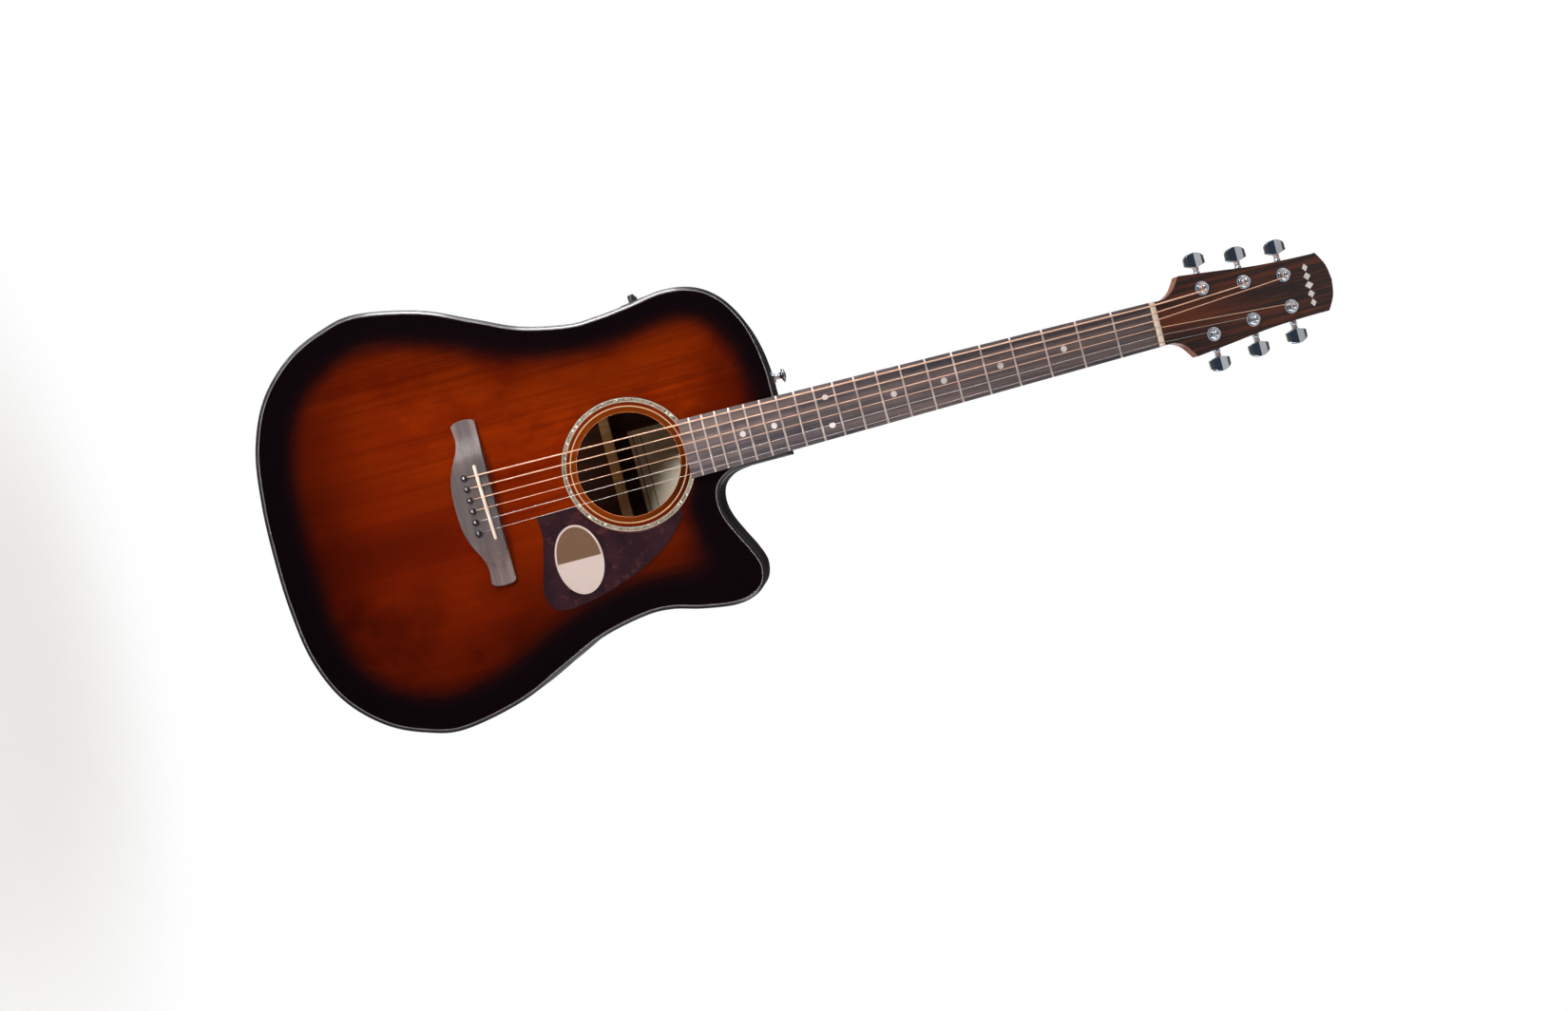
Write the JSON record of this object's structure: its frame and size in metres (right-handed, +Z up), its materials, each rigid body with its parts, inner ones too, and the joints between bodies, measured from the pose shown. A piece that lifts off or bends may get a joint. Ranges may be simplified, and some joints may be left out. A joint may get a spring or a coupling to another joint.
{
  "type": "acoustic guitar",
  "caption": "Steel-string cutaway acoustic guitar: hollow body with a sunburst top, fretted neck, geared tuners and a pin bridge.",
  "frame": {"origin": "centre line of the neck where the fingerboard surface meets the nut, in the throat that a wall hanger or stand yoke holds", "axes": "+Z up the neck towards the head, -Y out of the playing face, +X to the treble side"},
  "size_m": [0.4096, 0.1314, 1.0597],
  "materials": {
    "spruce_top": "gloss brown sunburst lacquer over spruce",
    "body_wood": "gloss near-black brown lacquer over mahogany",
    "binding": "black gloss plastic",
    "spruce_inside": "bare pale spruce",
    "block_wood": "bare mahogany",
    "rosette_shell": "mother of pearl look",
    "pickguard": "dark tortoise gloss plastic",
    "rosewood": "satin oiled rosewood",
    "neck_wood": "satin reddish mahogany",
    "headplate_wood": "gloss rosewood veneer",
    "bone": "polished cream bone substitute",
    "black_plastic": "black satin plastic",
    "chrome": "polished chrome",
    "rod_steel": "plain steel",
    "wound_string": "bronze winding over steel",
    "plain_string": "bright plain steel wire"
  },
  "bodies": {
    "root": {"top": "spruce_top", "back": "body_wood", "side_bass": "body_wood", "side_treble": "body_wood", "top_binding": "binding", "back_binding": "binding", "top_lining": "spruce_inside", "back_lining": "spruce_inside", "neck_block": "block_wood", "end_block": "block_wood", "x_brace": "spruce_inside", "transverse_brace": "spruce_inside", "bridge_plate": "block_wood", "back_brace_upper": "spruce_inside", "back_brace_lower": "spruce_inside", "rosette": "rosette_shell", "pickguard": "pickguard", "strap_button": "chrome", "endpin_jack": "chrome", "preamp_panel": "black_plastic", "neck": "neck_wood", "headplate": "headplate_wood", "fingerboard": "rosewood", "nut": "bone", "heel_cap": "headplate_wood", "truss_rod": "rod_steel", "bridge": "rosewood", "saddle": "bone", "bridge_pin_1": "black_plastic", "string_1": "wound_string", "tuner_housing_1": "chrome", "bridge_pin_2": "black_plastic", "string_2": "wound_string", "tuner_housing_2": "chrome", "bridge_pin_3": "black_plastic", "string_3": "wound_string", "tuner_housing_3": "chrome", "bridge_pin_4": "black_plastic", "string_4": "wound_string", "tuner_housing_4": "chrome", "bridge_pin_5": "black_plastic", "string_5": "plain_string", "tuner_housing_5": "chrome", "bridge_pin_6": "black_plastic", "string_6": "plain_string", "tuner_housing_6": "chrome"},
    "volume_knob": {"volume_knob": "black_plastic"},
    "tone_knob": {"tone_knob": "black_plastic"},
    "tuner_post_1": {"tuner_post_1": "chrome"},
    "tuner_post_2": {"tuner_post_2": "chrome"},
    "tuner_post_3": {"tuner_post_3": "chrome"},
    "tuner_post_4": {"tuner_post_4": "chrome"},
    "tuner_post_5": {"tuner_post_5": "chrome"},
    "tuner_post_6": {"tuner_post_6": "chrome"},
    "tuner_key_1": {"tuner_key_1": "chrome"},
    "tuner_key_2": {"tuner_key_2": "chrome"},
    "tuner_key_3": {"tuner_key_3": "chrome"},
    "tuner_key_4": {"tuner_key_4": "chrome"},
    "tuner_key_5": {"tuner_key_5": "chrome"},
    "tuner_key_6": {"tuner_key_6": "chrome"}
  },
  "joints": [
    {"name": "tuner_key_1_turn", "type": "hinge", "parent": "root", "child": "tuner_key_1", "pos_m": [-0.0224, 0.03639, 0.05714], "axis": [-1, 0, 0], "continuous": true},
    {"name": "tuner_post_1_turn", "type": "hinge", "parent": "root", "child": "tuner_post_1", "pos_m": [-0.0224, 0.01417, 0.05443], "axis": [0, -0.9703, 0.2419], "continuous": true},
    {"name": "tuner_key_2_turn", "type": "hinge", "parent": "root", "child": "tuner_key_2", "pos_m": [-0.0183, 0.04667, 0.09838], "axis": [-1, 0, 0], "continuous": true},
    {"name": "tuner_post_2_turn", "type": "hinge", "parent": "root", "child": "tuner_post_2", "pos_m": [-0.0183, 0.02445, 0.09567], "axis": [0, -0.9703, 0.2419], "continuous": true},
    {"name": "tuner_key_3_turn", "type": "hinge", "parent": "root", "child": "tuner_key_3", "pos_m": [-0.0155, 0.05663, 0.13835], "axis": [-1, 0, 0], "continuous": true},
    {"name": "tuner_post_3_turn", "type": "hinge", "parent": "root", "child": "tuner_post_3", "pos_m": [-0.0155, 0.03442, 0.13565], "axis": [0, -0.9703, 0.2419], "continuous": true},
    {"name": "tuner_key_4_turn", "type": "hinge", "parent": "root", "child": "tuner_key_4", "pos_m": [0.0155, 0.05663, 0.13835], "axis": [1, 0, 0], "continuous": true},
    {"name": "tuner_post_4_turn", "type": "hinge", "parent": "root", "child": "tuner_post_4", "pos_m": [0.0155, 0.03442, 0.13565], "axis": [0, -0.9703, 0.2419], "continuous": true},
    {"name": "tuner_key_5_turn", "type": "hinge", "parent": "root", "child": "tuner_key_5", "pos_m": [0.0183, 0.04667, 0.09838], "axis": [1, 0, 0], "continuous": true},
    {"name": "tuner_post_5_turn", "type": "hinge", "parent": "root", "child": "tuner_post_5", "pos_m": [0.0183, 0.02445, 0.09567], "axis": [0, -0.9703, 0.2419], "continuous": true},
    {"name": "tuner_key_6_turn", "type": "hinge", "parent": "root", "child": "tuner_key_6", "pos_m": [0.0224, 0.03639, 0.05714], "axis": [1, 0, 0], "continuous": true},
    {"name": "tuner_post_6_turn", "type": "hinge", "parent": "root", "child": "tuner_post_6", "pos_m": [0.0224, 0.01417, 0.05443], "axis": [0, -0.9703, 0.2419], "continuous": true},
    {"name": "volume_knob_turn", "type": "hinge", "parent": "root", "child": "volume_knob", "pos_m": [-0.1481, 0.037, -0.471], "axis": [-0.9903, 0, -0.1392], "range_deg": [-140, 140]},
    {"name": "tone_knob_turn", "type": "hinge", "parent": "root", "child": "tone_knob", "pos_m": [-0.1481, 0.061, -0.471], "axis": [-0.9903, 0, -0.1392], "range_deg": [-140, 140]}
  ],
  "couplings": [
    {"joint": "tuner_post_1_turn", "follows": "tuner_key_1_turn", "ratio": 0.071429},
    {"joint": "tuner_post_2_turn", "follows": "tuner_key_2_turn", "ratio": 0.071429},
    {"joint": "tuner_post_3_turn", "follows": "tuner_key_3_turn", "ratio": 0.071429},
    {"joint": "tuner_post_4_turn", "follows": "tuner_key_4_turn", "ratio": 0.071429},
    {"joint": "tuner_post_5_turn", "follows": "tuner_key_5_turn", "ratio": 0.071429},
    {"joint": "tuner_post_6_turn", "follows": "tuner_key_6_turn", "ratio": 0.071429}
  ]
}
